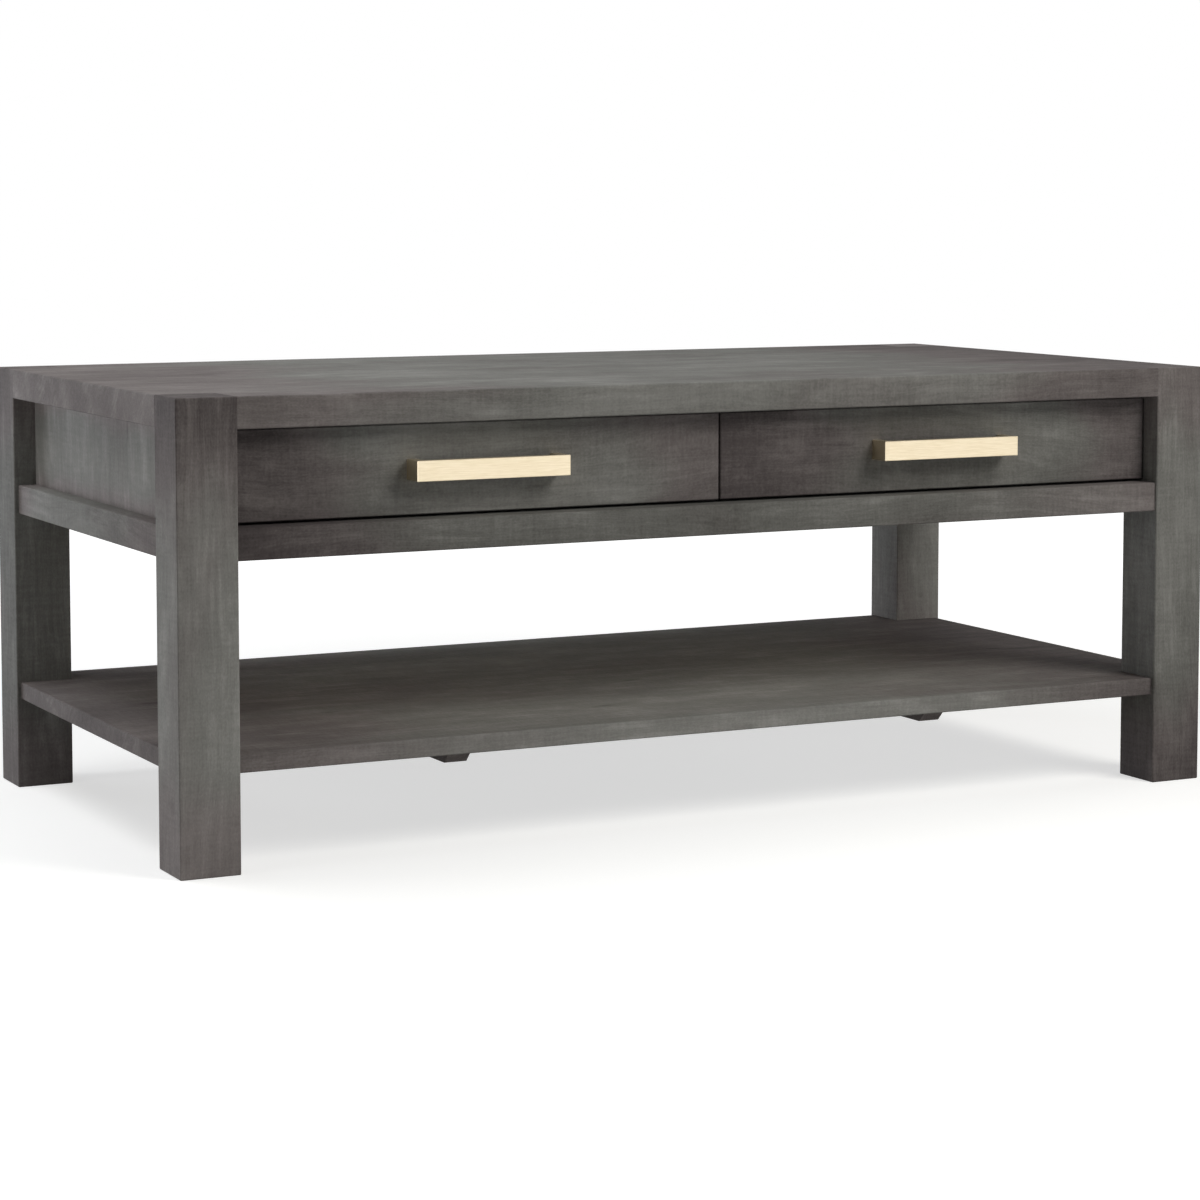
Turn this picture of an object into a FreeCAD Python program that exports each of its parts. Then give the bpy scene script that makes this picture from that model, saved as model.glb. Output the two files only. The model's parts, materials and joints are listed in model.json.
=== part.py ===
import FreeCAD, Part
import math
import os

# A low table with two drawers over an open shelf, in grey-stained hardwood.
# Millimetres. The origin is on the floor under the middle of the table.
# +X runs along the table to the right, +Y to the back, +Z up; the drawers open towards -Y.

# Table
table_width = 1219.0
table_depth = 610.0
table_height = 470.0
leg_side = 63.0
top_thickness = 32.0
drawer_opening_height = 97.0
arris = 1.0                    # chamfer that takes the sharpness off the boards' edges

# Rails under the drawers
rail_height = 32.0
rail_front_inset = 3.0         # front and back rails behind the faces of the legs
rail_side_inset = 5.0
cross_rail_width = 60.0
tenon_reach_share = 0.3        # of the leg's side
tenon_thickness = 10.0
tenon_shoulder = 7.0
joint_play = 0.1               # glue room round a tenon, tongue or housed board

# Panels round the drawers
panel_thickness = 19.0
panel_recess = 25.0            # side and back panels behind the faces of the legs
divider_thickness = 19.0
housing_depth = 6.0
dust_panel_thickness = 6.0
dust_panel_tongue = 6.0
packer_height = 60.0

# Shelf
shelf_thickness = 19.0
shelf_floor_gap = 100.0
shelf_front_inset = 5.0
shelf_side_inset = 4.5
batten_width = 25.0
batten_height = 19.0
batten_spacing = 576.0
batten_setback = 46.0          # from the front of the legs to the upper end of the bevel
batten_screw_length = 32.0
batten_screw_shares = (-0.8, 0.0, 0.8)   # of the half length that lies flat on the floor side

# Loose tenons between the legs and the two boards that are notched round them
loose_tenon_reach_share = 0.24           # of the leg's side, into each board
loose_tenon_width_share = 0.38           # of the leg's side
loose_tenon_thickness = 8.0

# Drawers
front_thickness = 20.0
front_recess = 25.0
front_side_gap = 2.0
front_centre_gap = 2.0
front_bottom_gap = 3.0
front_top_gap = 2.5
box_board = 13.0
box_bottom_gap = 11.0
box_top_gap = 10.0
box_rear_margin = 2.0          # the box runs this far past the end of its slides
bottom_thickness = 6.0
bottom_groove = 6.0
bottom_rise = 10.0             # from the lower edge of the box to its bottom board
divider_front_gap = 2.0
tail_count = 3
tail_width_share = 0.68        # of the space between tails, at the wide end
tail_slope_share = 0.14        # narrowing on each side, for the length of the tail
dovetail_play = 0.05

# Pulls
pull_length = 170.0
pull_height = 21.0
pull_projection = 27.0
pull_bar = 10.0
pull_foot = 10.0
pull_inner_radius = 4.0
pull_arris = 0.5
pull_screw_radius = 2.0
pull_screw_head_radius = 4.0
pull_screw_head = 2.4
pull_screw_bite = 9.0          # into the foot of the pull
pull_screw_play = 0.25         # in the boards

# Wood screws
screw_radius = 2.0
screw_head_radius = 4.0
screw_tip = 3.0
screw_tip_share = 0.2          # of the shank's radius, at the point
screw_sides = 8
screw_play = 0.05
front_screw_length = 25.0
front_screw_width_shares = (-0.4, 0.4)   # of the box's width, from its middle
front_screw_height_shares = (0.22, 0.78)  # of the box's clear height over its bottom board

# Ball-bearing slides, as pressed from sheet
slide_height = 45.0
slide_sheet = 1.2
slide_setback = 3.0            # behind the drawer front
slide_rear_room = 68.0         # between the slides and the back panel
slide_web_gap = 0.4            # between the case member and the middle member
slide_foot = 4.26              # from the inner ball to the middle of the drawer member's web
slide_bend = 1.6
race_end_angle = 35.0
race_step_angle = -30.0        # from the outer ball to the inner one
drawer_race_angle = 205.0
ball_radius = 1.75
ball_play = 0.3
ball_count = 4                 # in each row
outer_row_shares = (0.56, 0.94)          # along the middle member
inner_row_shares = (0.06, 0.44)

# Overrun for cuts, and the distance at which two places count as one
overrun = 5.0
same_place = 0.01

# Worked out from the sizes above
half_width = table_width / 2
half_depth = table_depth / 2
leg_in_x = half_width - leg_side
leg_in_y = half_depth - leg_side
top_under = table_height - top_thickness
rail_top = top_under - drawer_opening_height
rail_under = rail_top - rail_height
rail_mid = (rail_top + rail_under) / 2
rail_out_y = half_depth - rail_front_inset
rail_out_x = half_width - rail_side_inset
tenon_reach = tenon_reach_share * leg_side
panel_out_x = half_width - panel_recess
panel_in_x = panel_out_x - panel_thickness
back_out_y = half_depth - panel_recess
back_in_y = back_out_y - panel_thickness
shelf_top = shelf_floor_gap + shelf_thickness
shelf_out_x = half_width - shelf_side_inset
shelf_out_y = half_depth - shelf_front_inset
loose_reach = loose_tenon_reach_share * leg_side
loose_half_width = loose_tenon_width_share * leg_side / 2
half_divider = divider_thickness / 2
front_face_y = -(half_depth - front_recess)
front_back_y = front_face_y + front_thickness
slide_front = front_back_y + slide_setback
slide_length = back_in_y - slide_rear_room - slide_front
slide_mid_z = (rail_top + top_under) / 2

# The slide's section: u runs from the case to the drawer, v up from its middle
race = ball_radius + ball_play + slide_sheet / 2
outer_ball_u = slide_sheet / 2 + race
outer_ball_v = slide_height / 2 - slide_sheet / 2 - race
race_step = math.radians(race_step_angle)
inner_ball_u = outer_ball_u + 2 * race * math.cos(race_step)
inner_ball_v = outer_ball_v + 2 * race * math.sin(race_step)
middle_web_u = slide_sheet + slide_web_gap + slide_sheet / 2
drawer_web_u = inner_ball_u + slide_foot
slide_thickness = drawer_web_u + slide_sheet / 2

# The left drawer's box, between its slides
box_left = -leg_in_x + slide_thickness
box_right = -half_divider - slide_thickness
box_mid_x = (box_left + box_right) / 2
box_front_y = front_back_y
box_back_y = slide_front + slide_length + box_rear_margin
box_low = rail_top + box_bottom_gap
box_high = top_under - box_top_gap
bottom_low = box_low + bottom_rise
bottom_high = bottom_low + bottom_thickness
front_left = -leg_in_x + front_side_gap
front_right = -front_centre_gap / 2
front_mid_x = (front_left + front_right) / 2
front_low = rail_top + front_bottom_gap
front_high = top_under - front_top_gap
front_mid_z = (front_low + front_high) / 2

X_AXIS = FreeCAD.Vector(1, 0, 0)
Y_AXIS = FreeCAD.Vector(0, 1, 0)
Z_AXIS = FreeCAD.Vector(0, 0, 1)
ORIGIN = FreeCAD.Vector(0, 0, 0)
CORNERS = {
    "front_left": (-1, -1),
    "front_right": (1, -1),
    "back_left": (-1, 1),
    "back_right": (1, 1),
}


# Helpers

def block(x_range, y_range, z_range, play=0):
    """A box between three pairs of limits, in either order, larger all round by the play."""
    low = [min(limits) - play for limits in (x_range, y_range, z_range)]
    size = [max(limits) - min(limits) + 2 * play for limits in (x_range, y_range, z_range)]
    return Part.makeBox(*size, FreeCAD.Vector(*low))


def about(middle, half):
    """The limits that lie half a size to each side of a middle."""
    return middle - half, middle + half


def at(a, b):
    return abs(a - b) < same_place


def eased(shape, size, chosen):
    """Chamfer the edges whose middle points are chosen."""
    edges = [edge for edge in shape.Edges if chosen(edge.CenterOfMass)]
    return shape.makeChamfer(size, edges)


def mirrored(shape):
    """The same piece on the other side of the plane between the drawers."""
    return shape.mirror(ORIGIN, X_AXIS)


def prism(points, travel):
    """A flat outline of straight sides, drawn out along a vector."""
    vectors = [FreeCAD.Vector(*point) for point in points]
    face = Part.Face(Part.makePolygon(vectors + vectors[:1]))
    return face.extrude(travel)


def turned(profile, point, direction):
    """A screw's solid through (radius, distance) pairs, with flat sides to keep its faces few."""
    turns = [2 * math.pi * side / screw_sides for side in range(screw_sides + 1)]
    rings = []
    for radius, distance in profile:
        ring = [FreeCAD.Vector(radius * math.cos(t), radius * math.sin(t), distance) for t in turns]
        rings.append(Part.makePolygon(ring))
    solid = Part.makeLoft(rings, True, True)
    solid.Placement = FreeCAD.Placement(point, FreeCAD.Rotation(Z_AXIS, direction))
    return solid


def wood_screw(point, direction, length, play=0):
    """A countersunk screw with its flat head at a point, or with play the hole for it."""
    profile = [
        (screw_head_radius + play, -play),
        (screw_radius + play, screw_head_radius - screw_radius),
        (screw_radius + play, length - screw_tip),
        (screw_tip_share * screw_radius + play, length + play),
    ]
    return turned(profile, point, direction)


# Joinery that two pieces share

def long_rail_tenon(x_sign, y_sign, play=0):
    """The tenon of the front or back rail in a leg."""
    return block(
        (x_sign * leg_in_x, x_sign * (leg_in_x + tenon_reach)),
        about(y_sign * (rail_out_y + leg_in_y) / 2, tenon_thickness / 2),
        (rail_under + tenon_shoulder, rail_top - tenon_shoulder),
        play,
    )


def side_rail_tenon(x_sign, y_sign, play=0):
    return block(
        about(x_sign * (rail_out_x + leg_in_x) / 2, tenon_thickness / 2),
        (y_sign * leg_in_y, y_sign * (leg_in_y + tenon_reach)),
        (rail_under + tenon_shoulder, rail_top - tenon_shoulder),
        play,
    )


def cross_rail_tenon(y_sign, play=0):
    return block(
        about(0, tenon_thickness / 2),
        (y_sign * leg_in_y, y_sign * (leg_in_y + tenon_reach)),
        (rail_under + tenon_shoulder, rail_top - tenon_shoulder),
        play,
    )


def loose_tenons(x_sign, y_sign, z_mid, board_out_x, board_out_y, play=0):
    """The two loose tenons between one leg and a board that is notched round it."""
    height = about(z_mid, loose_tenon_thickness / 2)
    along_x = block(
        about(x_sign * leg_in_x, loose_reach),
        about(y_sign * (board_out_y + leg_in_y) / 2, loose_half_width),
        height,
        play,
    )
    along_y = block(
        about(x_sign * (board_out_x + leg_in_x) / 2, loose_half_width),
        about(y_sign * leg_in_y, loose_reach),
        height,
        play,
    )
    return [along_x, along_y]


def top_loose_tenons(x_sign, y_sign, play=0):
    z_mid = (top_under + table_height) / 2
    return loose_tenons(x_sign, y_sign, z_mid, half_width, half_depth, play)


def shelf_loose_tenons(x_sign, y_sign, play=0):
    z_mid = (shelf_floor_gap + shelf_top) / 2
    return loose_tenons(x_sign, y_sign, z_mid, shelf_out_x, shelf_out_y, play)


def housed_height():
    return rail_top - housing_depth, top_under + housing_depth


def side_panel(x_sign, play=0):
    """A side panel, housed in the legs, the side rail and the top."""
    return block(
        (x_sign * panel_in_x, x_sign * panel_out_x),
        about(0, leg_in_y + housing_depth),
        housed_height(),
        play,
    )


def back_panel(play=0):
    return block(
        about(0, leg_in_x + housing_depth),
        (back_in_y, back_out_y),
        housed_height(),
        play,
    )


def centre_divider(play=0):
    return block(
        about(0, half_divider),
        (front_back_y + divider_front_gap, back_in_y),
        housed_height(),
        play,
    )


def dust_panel(play=0):
    """The left plywood panel under the drawers, its corners cut away round the legs."""
    panel = block(
        (-leg_in_x - dust_panel_tongue, -cross_rail_width / 2 + dust_panel_tongue),
        about(0, leg_in_y + dust_panel_tongue),
        about(rail_mid, dust_panel_thickness / 2),
        play,
    )
    for y_sign in (-1, 1):
        corner = block(
            (-leg_in_x, -half_width),
            (y_sign * leg_in_y, y_sign * half_depth),
            (rail_under, rail_top),
            joint_play - play,
        )
        panel = panel.cut(corner)
    return panel


# The frame

def leg(x_sign, y_sign):
    """A square post that runs from the floor up through the corner of the top."""
    x_in, x_out = x_sign * leg_in_x, x_sign * half_width
    y_in, y_out = y_sign * leg_in_y, y_sign * half_depth
    post = block((x_in, x_out), (y_in, y_out), (0, table_height))

    def outside(p):
        corner = at(p.x, x_out) and at(p.y, y_out)
        rim = at(p.z, table_height) and (at(p.x, x_out) or at(p.y, y_out))
        return corner or rim or at(p.z, 0)

    post = eased(post, arris, outside)
    cuts = [
        long_rail_tenon(x_sign, y_sign, joint_play),
        side_rail_tenon(x_sign, y_sign, joint_play),
        side_panel(x_sign, joint_play),
    ]
    cuts += top_loose_tenons(x_sign, y_sign, joint_play)
    cuts += shelf_loose_tenons(x_sign, y_sign, joint_play)
    if y_sign > 0:
        cuts.append(back_panel(joint_play))
    for x, y in ((x_in, y_out), (x_out, y_in), (x_in, y_in)):
        strip = [(x - arris, y, -overrun), (x, y - arris, -overrun)]
        strip += [(x + arris, y, -overrun), (x, y + arris, -overrun)]
        cuts.append(prism(strip, Z_AXIS * (top_under + overrun)))
    return post.cut(cuts)


def notched_board(out_x, out_y, low, high):
    """A board cut away at its four corners, where the legs stand."""
    board = block(about(0, out_x), about(0, out_y), (low, high))
    legs = [
        block(
            (x_sign * leg_in_x, x_sign * (half_width + overrun)),
            (y_sign * leg_in_y, y_sign * (half_depth + overrun)),
            (low - overrun, high + overrun),
        )
        for x_sign, y_sign in CORNERS.values()
    ]
    board = board.cut(legs)

    def rim(p):
        level = at(p.z, low) or at(p.z, high)
        return level and (at(abs(p.x), out_x) or at(abs(p.y), out_y))

    return eased(board, arris, rim)


def top_panel():
    board = notched_board(half_width, half_depth, top_under, table_height)
    cuts = [side_panel(-1, joint_play), side_panel(1, joint_play)]
    cuts += [back_panel(joint_play), centre_divider(joint_play)]
    for x_sign, y_sign in CORNERS.values():
        cuts += top_loose_tenons(x_sign, y_sign, joint_play)
    return board.cut(cuts)


def long_rail(y_sign):
    """The front or back rail, between two legs."""
    y_out = y_sign * rail_out_y
    rail = block(about(0, leg_in_x), (y_out, y_sign * leg_in_y), (rail_under, rail_top))
    rail = eased(rail, arris, lambda p: at(p.y, y_out) and (at(p.z, rail_under) or at(p.z, rail_top)))
    rail = rail.fuse([long_rail_tenon(x_sign, y_sign) for x_sign in (-1, 1)])
    cuts = [cross_rail_tenon(y_sign, joint_play), centre_divider(joint_play)]
    cuts += [dust_panel(joint_play), mirrored(dust_panel(joint_play))]
    if y_sign > 0:
        cuts.append(back_panel(joint_play))
    return rail.cut(cuts)


def side_rail():
    """The left side rail, between a front leg and a back leg."""
    rail = block((-rail_out_x, -leg_in_x), about(0, leg_in_y), (rail_under, rail_top))
    rail = eased(rail, arris, lambda p: at(p.x, -rail_out_x) and not at(p.z, rail_mid))
    rail = rail.fuse([side_rail_tenon(-1, y_sign) for y_sign in (-1, 1)])
    return rail.cut([side_panel(-1, joint_play), dust_panel(joint_play)])


def cross_rail():
    """The rail from front to back that carries the divider."""
    rail = block(about(0, cross_rail_width / 2), about(0, leg_in_y), (rail_under, rail_top))
    rail = rail.fuse([cross_rail_tenon(y_sign) for y_sign in (-1, 1)])
    return rail.cut([centre_divider(joint_play), dust_panel(joint_play), mirrored(dust_panel(joint_play))])


def slide_packer():
    """The board that brings the left side panel out to the inner faces of the legs."""
    return block((-panel_in_x, -leg_in_x), about(0, leg_in_y), about(slide_mid_z, packer_height / 2))


# The shelf

def batten_screw_places():
    """Where the left batten's screws go in, from below."""
    flat_half = half_depth - batten_setback - batten_height
    z = shelf_floor_gap - batten_height
    return [FreeCAD.Vector(-batten_spacing / 2, share * flat_half, z) for share in batten_screw_shares]


def batten_screws(play=0):
    return [wood_screw(point, Z_AXIS, batten_screw_length, play) for point in batten_screw_places()]


def shelf_batten():
    """The left batten under the shelf, bevelled at both ends."""
    x = -(batten_spacing + batten_width) / 2
    top_half = half_depth - batten_setback
    low_half = top_half - batten_height
    low = shelf_floor_gap - batten_height
    outline = [
        (x, -top_half, shelf_floor_gap),
        (x, -low_half, low),
        (x, low_half, low),
        (x, top_half, shelf_floor_gap),
    ]
    return prism(outline, X_AXIS * batten_width).cut(batten_screws(screw_play))


def lower_shelf():
    board = notched_board(shelf_out_x, shelf_out_y, shelf_floor_gap, shelf_top)
    holes = batten_screws(screw_play)
    holes += [mirrored(hole) for hole in holes]
    for x_sign, y_sign in CORNERS.values():
        holes += shelf_loose_tenons(x_sign, y_sign, joint_play)
    return board.cut(holes)


# The slides, each drawn for the left wall of the left drawer

def sheet_face(upper_arcs, offset):
    """The edges along one face of the sheet, from the lower free edge round the web to the upper one."""
    lower_arcs = [(u, -v, radius, -end, -start) for u, v, radius, start, end in reversed(upper_arcs)]
    edges = []
    for u, v, radius, start, end in lower_arcs + upper_arcs:
        reach = radius + offset * math.copysign(1, start - end)
        points = []
        for angle in (start, (start + end) / 2, end):
            turn = math.radians(angle)
            points.append(FreeCAD.Vector(u + reach * math.cos(turn), 0, v + reach * math.sin(turn)))
        if edges and edges[-1].lastVertex().Point.distanceToPoint(points[0]) > same_place:
            edges.append(Part.makeLine(edges[-1].lastVertex().Point, points[0]))
        edges.append(Part.Arc(*points).toShape())
    return edges


def pressed_section(upper_arcs):
    """A sheet's section along arcs (u, v, radius, start and end angle) and the straight runs between."""
    outside = sheet_face(upper_arcs, slide_sheet / 2)
    inside = sheet_face(upper_arcs, -slide_sheet / 2)
    caps = [
        Part.makeLine(outside[0].firstVertex().Point, inside[0].firstVertex().Point),
        Part.makeLine(outside[-1].lastVertex().Point, inside[-1].lastVertex().Point),
    ]
    return Part.Face(Part.Wire(Part.__sortEdges__(outside + inside + caps)))


def case_member_section():
    """Screwed to the case: its edges curl over the outer balls."""
    return pressed_section([(outer_ball_u, outer_ball_v, race, 180, race_end_angle)])


def middle_member_section():
    """Runs between the two rows of balls: under the outer row and over the inner one."""
    bend = outer_ball_u - middle_web_u
    return pressed_section([
        (outer_ball_u, outer_ball_v - race - bend, bend, 180, 90),
        (outer_ball_u, outer_ball_v, race, 270, 360 + race_step_angle),
        (inner_ball_u, inner_ball_v, race, 180 + race_step_angle, race_end_angle),
    ])


def drawer_member_section():
    """Screwed to the drawer: its edges hook under the inner balls."""
    bend_u = drawer_web_u - slide_bend
    return pressed_section([
        (bend_u, inner_ball_v - race - slide_bend, slide_bend, 0, 90),
        (inner_ball_u, inner_ball_v, race, 270, drawer_race_angle),
    ])


def ball(u, y, v):
    """A steel ball, as a cube with its edges taken off, to keep its faces few."""
    side = 2 * ball_radius / math.sqrt(1 + 2 * (math.sqrt(2) - 1) ** 2)
    cube = block(about(u, side / 2), about(y, side / 2), about(v, side / 2))
    return cube.makeChamfer(side / (2 + math.sqrt(2)), cube.Edges)


def slide_balls():
    """Both rows of balls of one slide, above and below."""
    balls = []
    rows = ((outer_ball_u, outer_ball_v, outer_row_shares), (inner_ball_u, inner_ball_v, inner_row_shares))
    for u, v, (first, last) in rows:
        for n in range(ball_count):
            y = slide_length * (first + (last - first) * n / (ball_count - 1))
            balls += [ball(u, y, v), ball(u, y, -v)]
    return balls


def on_leg_side(shape):
    """Set a slide's piece against the left drawer's outer wall."""
    return shape.translated(FreeCAD.Vector(-leg_in_x, slide_front, slide_mid_z))


def on_divider_side(shape):
    """Set a slide's piece against the left face of the divider."""
    return mirrored(shape).translated(FreeCAD.Vector(-half_divider, slide_front, slide_mid_z))


def on_both_sides(shapes):
    return [place(shape) for place in (on_leg_side, on_divider_side) for shape in shapes]


# The left drawer

def tails(y_end, y_base, play=0):
    """The row of dovetails on a side board's end, wide at y_end and narrow at y_base."""
    pitch = (box_high - box_low) / tail_count
    wide = tail_width_share * pitch / 2 + play
    narrow = wide - tail_slope_share * abs(y_base - y_end)
    row = []
    for n in range(tail_count):
        z = box_low + pitch * (n + 1 / 2)
        outline = [
            (box_left, y_end, z - wide),
            (box_left, y_end, z + wide),
            (box_left, y_base, z + narrow),
            (box_left, y_base, z - narrow),
        ]
        row.append(prism(outline, X_AXIS * box_board))
    return row


def box_tails(play=0):
    """All the dovetails of the left side board."""
    front = tails(box_front_y, box_front_y + box_board, play)
    return front + tails(box_back_y, box_back_y - box_board, play)


def across_box(shape):
    """The same piece on the other side of the drawer's box."""
    return shape.mirror(FreeCAD.Vector(box_mid_x, 0, 0), X_AXIS)


def drawer_bottom(play=0):
    inset = box_board - bottom_groove
    return block(
        (box_left + inset, box_right - inset),
        (box_front_y + inset, box_back_y - inset),
        (bottom_low, bottom_high),
        play,
    )


def drawer_side():
    board = block(
        (box_left, box_left + box_board),
        (box_front_y + box_board, box_back_y - box_board),
        (box_low, box_high),
    )
    board = board.fuse(box_tails()).removeSplitter()
    return board.cut(drawer_bottom(joint_play))


def box_end(y_out, y_in):
    """A board across the box, with pins cut to the side boards' tails."""
    board = block((box_left, box_right), (y_out, y_in), (box_low, box_high))
    cuts = box_tails(dovetail_play)
    cuts += [across_box(tail) for tail in cuts]
    return board.cut(cuts + [drawer_bottom(joint_play)])


def pull_screw_places():
    """Where the pull's screws pass the inner face of the box."""
    half_spacing = (pull_length - pull_foot) / 2
    y = box_front_y + box_board
    return [FreeCAD.Vector(front_mid_x + sign * half_spacing, y, front_mid_z) for sign in (-1, 1)]


def pull_screws():
    """Flat-headed machine screws from inside the drawer into the feet of the pull."""
    grip = box_board + front_thickness + pull_screw_bite
    head = [(pull_screw_head_radius, -pull_screw_head), (pull_screw_head_radius, 0)]
    shank = [(pull_screw_radius, -pull_screw_head), (pull_screw_radius, grip)]
    screws = []
    for point in pull_screw_places():
        screw = turned(head, point, -Y_AXIS).fuse(turned(shank, point, -Y_AXIS))
        screws.append(screw.removeSplitter())
    return screws


def pull_screw_holes(play):
    radius = pull_screw_radius + play
    length = box_board + front_thickness + pull_screw_bite + play
    profile = [(radius, -play), (radius, length)]
    return [turned(profile, point, -Y_AXIS) for point in pull_screw_places()]


def front_screws(play=0):
    """Countersunk screws that hold the drawer front to its box."""
    y = box_front_y + box_board
    screws = []
    for x_share in front_screw_width_shares:
        for z_share in front_screw_height_shares:
            x = front_mid_x + x_share * (box_right - box_left)
            z = bottom_high + z_share * (box_high - bottom_high)
            point = FreeCAD.Vector(x, y, z)
            screws.append(wood_screw(point, -Y_AXIS, front_screw_length, play))
    return screws


def box_front():
    board = box_end(box_front_y, box_front_y + box_board)
    return board.cut(pull_screw_holes(pull_screw_play) + front_screws(screw_play))


def box_back():
    return box_end(box_back_y, box_back_y - box_board)


def drawer_front():
    board = block((front_left, front_right), (front_face_y, front_back_y), (front_low, front_high))
    board = eased(board, arris, lambda p: at(p.y, front_face_y))
    return board.cut(pull_screw_holes(pull_screw_play) + front_screws(screw_play))


def drawer_pull():
    """A bridge-shaped bar pull, with a square bar and two feet on the drawer front."""
    bar_front = front_face_y - pull_projection
    x_limits = about(front_mid_x, pull_length / 2)
    z_limits = about(front_mid_z, pull_height / 2)
    pull = block(x_limits, (bar_front, front_face_y), z_limits)
    gap = block(
        about(front_mid_x, pull_length / 2 - pull_foot),
        (bar_front + pull_bar, front_face_y + overrun),
        about(front_mid_z, pull_height / 2 + overrun),
    )
    corners = [
        edge for edge in gap.Edges
        if at(edge.CenterOfMass.y, bar_front + pull_bar) and at(edge.CenterOfMass.z, front_mid_z)
    ]
    gap = gap.makeFillet(pull_inner_radius, corners)
    pull = eased(pull, pull_arris, lambda p: not at(p.y, front_face_y))
    return pull.cut([gap] + pull_screw_holes(screw_play))


# The pieces by name

def table_pieces():
    pieces = {"leg_" + name: leg(*signs) for name, signs in CORNERS.items()}
    pieces["top_panel"] = top_panel()
    pieces["front_rail"] = long_rail(-1)
    pieces["back_rail"] = long_rail(1)
    pieces["cross_rail"] = cross_rail()
    pieces["back_panel"] = back_panel()
    pieces["centre_divider"] = centre_divider()
    pieces["lower_shelf"] = lower_shelf()
    pairs = {
        "side_rail": side_rail(),
        "side_panel": side_panel(-1),
        "dust_panel": dust_panel(),
        "slide_packer": slide_packer(),
        "shelf_batten": shelf_batten(),
    }
    for name, shape in pairs.items():
        pieces[name + "_left"] = shape
        pieces[name + "_right"] = mirrored(shape)
    screws = batten_screws()
    pieces["batten_screws"] = Part.makeCompound(screws + [mirrored(screw) for screw in screws])
    corners = CORNERS.values()
    pieces["top_tenons"] = Part.makeCompound([t for signs in corners for t in top_loose_tenons(*signs)])
    pieces["shelf_tenons"] = Part.makeCompound([t for signs in corners for t in shelf_loose_tenons(*signs)])
    return pieces


def left_drawer_pieces():
    """The left drawer and both of its slides."""
    along = Y_AXIS * slide_length
    case_member = case_member_section().extrude(along)
    middle_member = middle_member_section().extrude(along)
    drawer_member = drawer_member_section().extrude(along)
    side = drawer_side()
    return {
        "drawer_front": drawer_front(),
        "drawer_pull": drawer_pull(),
        "drawer_box_front": box_front(),
        "drawer_box_back": box_back(),
        "drawer_side_leg_side": side,
        "drawer_side_divider_side": across_box(side),
        "drawer_bottom": drawer_bottom(),
        "pull_screws": Part.makeCompound(pull_screws()),
        "front_screws": Part.makeCompound(front_screws()),
        "case_member_leg_side": on_leg_side(case_member),
        "case_member_divider_side": on_divider_side(case_member),
        "middle_member_leg_side": on_leg_side(middle_member),
        "middle_member_divider_side": on_divider_side(middle_member),
        "drawer_member_leg_side": on_leg_side(drawer_member),
        "drawer_member_divider_side": on_divider_side(drawer_member),
        "slide_balls": Part.makeCompound(on_both_sides(slide_balls())),
    }


def all_pieces():
    pieces = table_pieces()
    for name, shape in left_drawer_pieces().items():
        pieces["left_" + name] = shape
        pieces["right_" + name] = mirrored(shape)
    return pieces


os.makedirs("parts", exist_ok=True)
for node, piece in all_pieces().items():
    piece.exportStep("parts/" + node + ".step")
    print(node, "solids", len(piece.Solids), "valid", piece.isValid(), "volume", round(piece.Volume))
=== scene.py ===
# %% [markdown]
# # A low table with two drawers, in grey-stained maple
#
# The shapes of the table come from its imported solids, which already stand in their right places. This
# lesson gives them their looks: stained wood, pale drawer boxes, brushed brass and zinc-plated steel. It
# also adds the small steel pieces that repeat, which Geometry Nodes make.

# %% Load the solids
import json
import math

import bpy
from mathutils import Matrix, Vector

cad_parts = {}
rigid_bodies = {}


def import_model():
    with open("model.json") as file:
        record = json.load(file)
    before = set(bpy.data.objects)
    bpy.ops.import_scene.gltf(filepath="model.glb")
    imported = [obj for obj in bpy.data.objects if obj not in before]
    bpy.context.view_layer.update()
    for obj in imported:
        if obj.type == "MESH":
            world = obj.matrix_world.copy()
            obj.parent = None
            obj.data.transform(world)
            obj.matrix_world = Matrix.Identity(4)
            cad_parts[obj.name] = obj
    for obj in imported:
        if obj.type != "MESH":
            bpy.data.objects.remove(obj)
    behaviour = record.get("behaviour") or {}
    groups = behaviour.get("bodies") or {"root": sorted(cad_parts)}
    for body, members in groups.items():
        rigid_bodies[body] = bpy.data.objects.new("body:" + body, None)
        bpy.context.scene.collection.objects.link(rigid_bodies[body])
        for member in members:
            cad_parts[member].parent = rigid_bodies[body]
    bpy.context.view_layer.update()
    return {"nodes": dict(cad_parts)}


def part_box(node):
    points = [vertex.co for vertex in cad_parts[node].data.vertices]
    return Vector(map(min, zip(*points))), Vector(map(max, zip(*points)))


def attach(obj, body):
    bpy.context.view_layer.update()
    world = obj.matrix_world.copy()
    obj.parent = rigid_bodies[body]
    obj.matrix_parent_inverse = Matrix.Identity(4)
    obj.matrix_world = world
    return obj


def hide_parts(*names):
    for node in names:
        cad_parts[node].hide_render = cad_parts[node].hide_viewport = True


for leftover in list(bpy.data.objects):
    bpy.data.objects.remove(leftover)
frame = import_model()
nodes = frame["nodes"]
scene = bpy.context.scene
MM = 0.001

# %% [markdown]
# ## Camera
#
# The photograph was taken from a little above the top, to the left of the drawers, with a long lens. Its
# upright edges stay nearly parallel, which a lens shift does: the camera looks almost level and the
# picture is taken from the lower part of what the lens sees. A part of that shift is kept here and a
# slight tilt does the rest, because a large shift would push the table out of the picture when the camera
# goes round it.

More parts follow.
